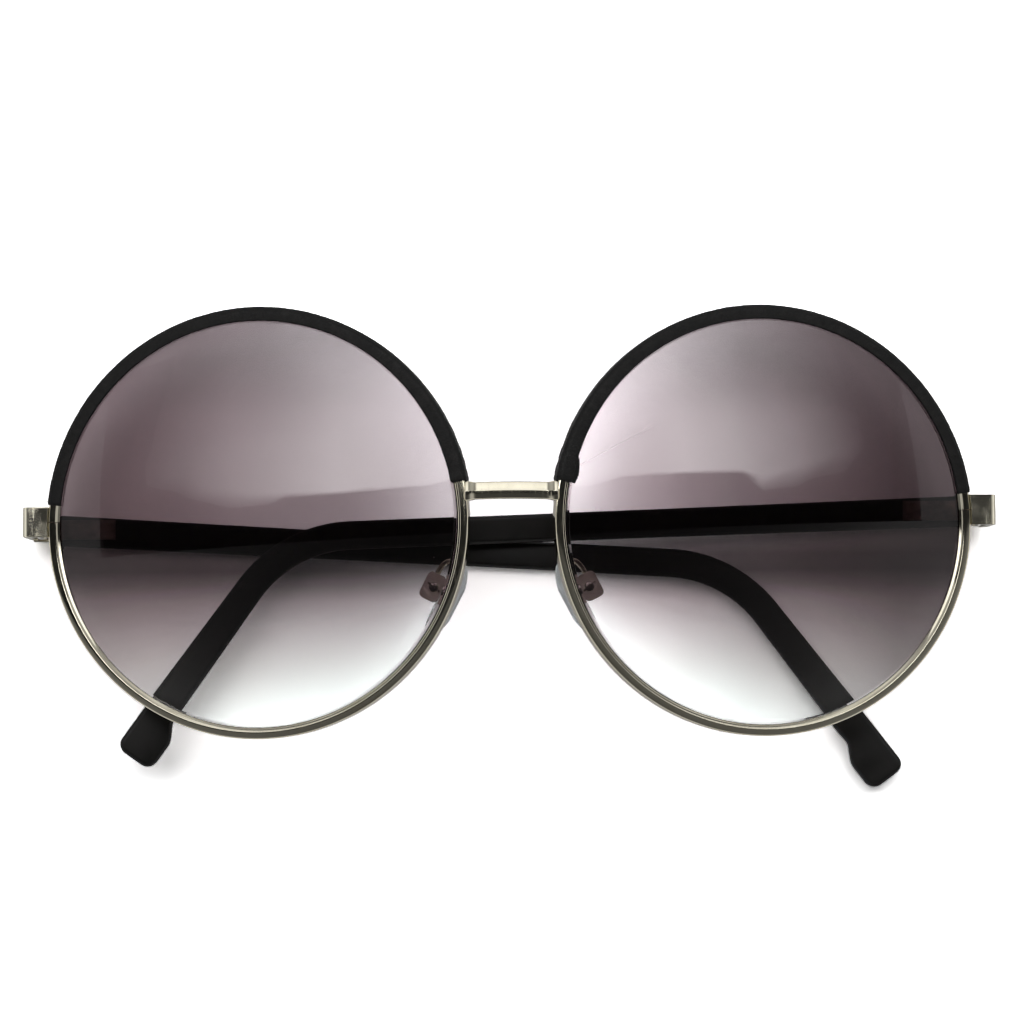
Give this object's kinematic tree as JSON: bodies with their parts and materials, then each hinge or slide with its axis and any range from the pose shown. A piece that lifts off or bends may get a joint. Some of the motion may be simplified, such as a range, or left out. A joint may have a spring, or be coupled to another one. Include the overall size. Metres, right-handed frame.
{
  "type": "oversized round sunglasses",
  "caption": "Oversized round metal sunglasses with leather-wrapped upper rims, gradient lenses, rocking nose pads and slim folding plastic temples.",
  "frame": {"origin": "on the flat outer face of the wearer's right temple, which the folded glasses lie on, under the middle of the bridge", "axes": "+X towards the wearer's left hinge, +Y towards the top of the rims, +Z out of the front of the lenses; the glasses lie folded with the lenses up"},
  "size_m": [0.1484, 0.0733, 0.0245],
  "materials": {
    "polished_metal": "polished, pale champagne silver",
    "satin_metal": "satin, pale champagne silver",
    "hinge_metal": "plain satin",
    "screw_steel": "polished",
    "black_leather": "fine grain, low sheen",
    "tinted_lens": "polished, smoky mauve fading to clear",
    "black_plastic": "matte with a soft sheen",
    "clear_pad": "clear, slightly milky",
    "clear_plastic": "clear"
  },
  "bodies": {
    "front": {"bridge": "polished_metal", "right_rim": "polished_metal", "right_lens": "tinted_lens", "right_leather_wrap": "black_leather", "right_end_piece": "satin_metal", "right_upper_block": "polished_metal", "right_lower_block": "polished_metal", "right_rim_screw": "screw_steel", "right_pad_arm": "polished_metal", "right_pad_box": "polished_metal", "right_pad_screw": "screw_steel", "right_hinge_screw": "screw_steel", "left_rim": "polished_metal", "left_lens": "tinted_lens", "left_leather_wrap": "black_leather", "left_end_piece": "satin_metal", "left_upper_block": "polished_metal", "left_lower_block": "polished_metal", "left_rim_screw": "screw_steel", "left_pad_arm": "polished_metal", "left_pad_box": "polished_metal", "left_pad_screw": "screw_steel", "left_hinge_screw": "screw_steel"},
    "right_temple_arm": {"right_temple": "black_plastic", "right_hinge_leaf": "hinge_metal"},
    "left_temple_arm": {"left_temple": "black_plastic", "left_hinge_leaf": "hinge_metal"},
    "right_pad": {"right_nose_pad": "clear_pad", "right_pad_core": "clear_plastic"},
    "left_pad": {"left_nose_pad": "clear_pad", "left_pad_core": "clear_plastic"}
  },
  "joints": [
    {"name": "right_temple_hinge", "type": "hinge", "parent": "front", "child": "right_temple_arm", "pos_m": [-0.07115, 0.0041, 0.003], "axis": [0, 1, 0], "range_deg": [0, 92]},
    {"name": "left_temple_hinge", "type": "hinge", "parent": "front", "child": "left_temple_arm", "pos_m": [0.07115, 0.00635, 0.003], "axis": [0, -1, 0], "range_deg": [0, 95]},
    {"name": "right_pad_rock", "type": "hinge", "parent": "front", "child": "right_pad", "pos_m": [-0.01171, -0.00546, 0.01628], "axis": [0, 0, 1], "range_deg": [-8, 8]},
    {"name": "left_pad_rock", "type": "hinge", "parent": "front", "child": "left_pad", "pos_m": [0.01171, -0.00546, 0.01628], "axis": [0, 0, 1], "range_deg": [-8, 8]}
  ]
}
